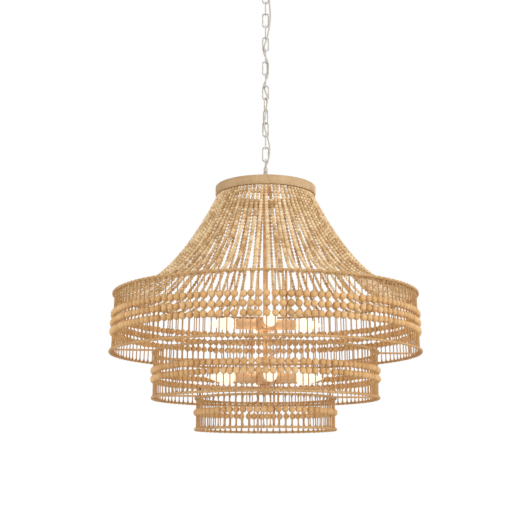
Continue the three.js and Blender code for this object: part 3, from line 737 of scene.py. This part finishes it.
def build_stem():
    """The stem tube, tan inside the shade and whitewashed as the chain where it stands out of it."""
    low, high = (corner.z * 1000 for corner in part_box("stem"))
    flat = STEM_RADIUS - STEM_CHAMFER
    bm = lathe([(STEM_BORE, low), (flat, low), (STEM_RADIUS, low + STEM_CHAMFER),
                (STEM_RADIUS, BAND_BOTTOM), (STEM_RADIUS, high - STEM_CHAMFER), (flat, high),
                (STEM_BORE, high), (STEM_BORE, low)], 32)
    piece = add_piece("stem_tube", bm, TAN_PAINT, "fixture", ("stem",))
    piece.data.materials.append(WHITEWASH)
    for face in piece.data.polygons:
        if face.center.z * 1000 > BAND_BOTTOM:
            face.material_index = 1


def link_path():
    """The centre line of a link standing in the XZ plane."""
    points = []
    for quarter, (across, up) in enumerate(((1, 1), (-1, 1), (-1, -1), (1, -1))):
        centre = Vector((across * (LINK_HALF_WIDE - LINK_CORNER), 0,
                         up * (LINK_HALF_TALL - LINK_CORNER)))
        for step in range(9):
            turn = QUARTER_TURN * (quarter + step / 8)
            points.append(centre + Vector((LINK_CORNER * math.cos(turn), 0,
                                           LINK_CORNER * math.sin(turn))))
    return points


def build_chain():
    """Links a quarter turn apart, each hanging in the one above."""
    for index in range(1, CHAIN_LINKS + 1):
        twisted = min(max(index - LAST_STRAIGHT_LINK, 0), TWISTED_LINKS) / TWISTED_LINKS
        turn = Matrix.Rotation(((index - 1) % 2 - twisted) * QUARTER_TURN, 4, "Z")
        bm = tube([link_path()], LINK_WIRE, closed=True, resolution=4)
        bm.transform(Matrix.Translation((0, 0, FIRST_LINK - (index - 1) * LINK_PITCH)) @ turn)
        body = "top_link" if index == 1 else "bottom_link" if index == CHAIN_LINKS else "chain"
        add_piece(f"link_{index:02d}", bm, WHITEWASH, body,
                  (f"chain_link_{index:02d}",), turned=False)


def build_loop(name, centre, upside_down, front, body, node):
    """A hanging loop: a ring of wire standing on a turned collar with a hole for the cord."""
    angles = [FULL_TURN * i / 48 for i in range(48)]
    points = [(0, LOOP_RADIUS * math.sin(angle), LOOP_RADIUS * math.cos(angle)) for angle in angles]
    bm = tube([points], LOOP_WIRE, closed=True, resolution=4)
    top, bottom = COLLAR_TOP, COLLAR_BOTTOM
    collar = lathe([(3, top - 6), (3, top), (8.4, top), (10, top - 1), (COLLAR_RADIUS, top - 3),
                    (COLLAR_RADIUS, bottom + 3.4), (10, bottom + 1), (8.8, bottom), (3, bottom),
                    (3, top - 6)], 40)
    collar.transform(Matrix.Diagonal((front / COLLAR_RADIUS, 1, 1, 1)))
    absorb(bm, collar)
    if upside_down:
        bm.transform(Matrix.Rotation(math.pi, 4, "X"))
    bm.transform(Matrix.Translation((0, 0, centre)))
    add_piece(name, bm, WHITEWASH, body, (node,), turned=False)


def smooth_route(points, per_span):
    """Points along a smooth curve through the route's points."""
    out = []
    spots = [Vector(p) for p in points]
    for index in range(len(spots) - 1):
        before = spots[max(index - 1, 0)]
        after = spots[min(index + 2, len(spots) - 1)]
        here, there = spots[index], spots[index + 1]
        for step in range(per_span):
            t = step / per_span
            out.append(0.5 * ((2 * here) + (there - before) * t
                              + (2 * before - 5 * here + 4 * there - after) * t * t
                              + (3 * here - before - 3 * there + after) * t ** 3))
    out.append(spots[-1])
    return out


def build_cord():
    """The supply cord, cut where the chain bends: the part along the chain goes on its body, and the
    parts at the bends stay where they are drawn.
    """
    line = smooth_route(CORD_ROUTE, 6)
    for name, top, bottom, body, next_body, start, end in CORD_PARTS:
        inside = [p for p in line if bottom <= p.z <= top]
        above = [p for p in line if p.z > top]
        below = [p for p in line if p.z < bottom]
        if above:
            share = (above[-1].z - top) / (above[-1].z - inside[0].z)
            inside.insert(0, above[-1].lerp(inside[0], share))
        if below:
            share = (inside[-1].z - bottom) / (inside[-1].z - below[0].z)
            inside.append(inside[-1].lerp(below[0], share))
        bm = tube([inside], SUPPLY_CORD_RADIUS)
        bm.transform(TO_METRES)
        piece = finish_piece(name, bm, VINYL, 50)
        if next_body:
            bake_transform(piece)
        else:
            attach(piece, body)
            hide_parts("supply_cord")


def build_rose():
    """The spun cup that hides the ceiling box."""
    add_piece("rose_cup", lathe(ROSE_OUTLINE, 96), WHITEWASH, "ceiling",
              ("ceiling_rose",), turned=False)


def dress_plain_nodes():
    """Solids whose shape is already right get their finish."""
    for node, material in (("ceiling_bar", WHITEWASH), ("rose_tube", WHITEWASH), ("rose_nut", WHITEWASH),
                           ("stem_nut", TAN_PAINT)):
        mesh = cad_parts[node].data
        mesh.materials.clear()
        mesh.materials.append(material)


def build_backdrop():
    """A white background that the camera, metal and glass see, and a softer light for the rest."""
    scene = bpy.context.scene
    scene.view_settings.view_transform = "Standard"
    world = bpy.data.worlds.new("studio")
    scene.world = world
    world.use_nodes = True
    tree = world.node_tree
    tree.nodes.clear()
    path = add_node(tree, "LightPath")
    seen = add_node(tree, "Math", {0: path.outputs["Is Camera Ray"], 1: path.outputs["Is Glossy Ray"]},
                    operation="MAXIMUM")
    seen = add_node(tree, "Math", {0: seen.outputs[0], 1: path.outputs["Is Transmission Ray"]},
                    operation="MAXIMUM")
    soft = add_node(tree, "Background", {"Color": shade("fffdf8"), "Strength": SOFT_LIGHT})
    white = add_node(tree, "Background", {"Color": (1, 1, 1, 1), "Strength": 1.0})
    blend = add_node(tree, "MixShader", {0: seen.outputs[0], 1: soft.outputs[0], 2: white.outputs[0]})
    add_node(tree, "OutputWorld", {"Surface": blend.outputs[0]})


def build_lights():
    """Three soft studio lights, and a faint warm glow over each level of lamps."""
    scene = bpy.context.scene
    for name, place, power, size in STUDIO_LIGHTS:
        light = bpy.data.lights.new(name, "AREA")
        light.energy = power
        light.size = size
        lamp = bpy.data.objects.new(name, light)
        lamp.location = place
        aim = Vector(LIGHT_TARGET) - Vector(place)
        lamp.rotation_euler = aim.to_track_quat("-Z", "Y").to_euler()
        scene.collection.objects.link(lamp)
    for level, height in (("upper", UPPER_LAMPS), ("lower", LOWER_LAMPS)):
        light = bpy.data.lights.new(level + "_glow", "POINT")
        light.energy = GLOW_POWER
        light.shadow_soft_size = GLOW_SIZE
        light.color = shade("ffe4c0")[:3]
        glow = bpy.data.objects.new(level + "_glow", light)
        glow.location = (0, 0, height / 1000 + GLOW_OVER_LAMPS)
        scene.collection.objects.link(glow)


def build_floor():
    """A pale matt floor, low enough that the shade is also seen from below."""
    bm = bmesh.new()
    bmesh.ops.create_grid(bm, x_segments=1, y_segments=1, size=FLOOR_HALF_WIDE,
                          matrix=Matrix.Translation((0, 0, FLOOR_HEIGHT)))
    mesh = bpy.data.meshes.new("floor")
    bm.to_mesh(mesh)
    bm.free()
    floor = bpy.data.objects.new("floor", mesh)
    bpy.context.scene.collection.objects.link(floor)
    matt, tree, place, surface = start_material("pale matt floor")
    surface.inputs["Base Color"].default_value = shade("f1efec")
    surface.inputs["Roughness"].default_value = 0.9
    mesh.materials.append(matt)


def build_camera():
    """The photograph's view: from a little below the shade, looking slightly up."""
    camera = bpy.data.cameras.new("camera")
    camera.lens = CAMERA_LENS
    camera.sensor_width = 36
    camera.clip_end = 50
    holder = bpy.data.objects.new("camera", camera)
    holder.location = CAMERA_PLACE
    holder.rotation_euler = (math.radians(90 + CAMERA_TILT_UP), 0, 0)
    bpy.context.scene.collection.objects.link(holder)
    bpy.context.scene.camera = holder


build_backdrop()
build_lights()
build_floor()
build_camera()
build_crown()
build_band()
for tier, sizes in TIERS.items():
    build_tier(tier, **sizes)
build_spiders()
build_lamps()
build_stem()
build_chain()
build_loop("loop_at_ceiling", LOOP_AT_CEILING, True, COLLAR_RADIUS, "ceiling", "ceiling_loop")
build_loop("loop_on_stem", LOOP_ON_STEM, False, STEM_COLLAR_FRONT, "fixture", "stem_loop")
build_cord()
build_rose()
dress_plain_nodes()
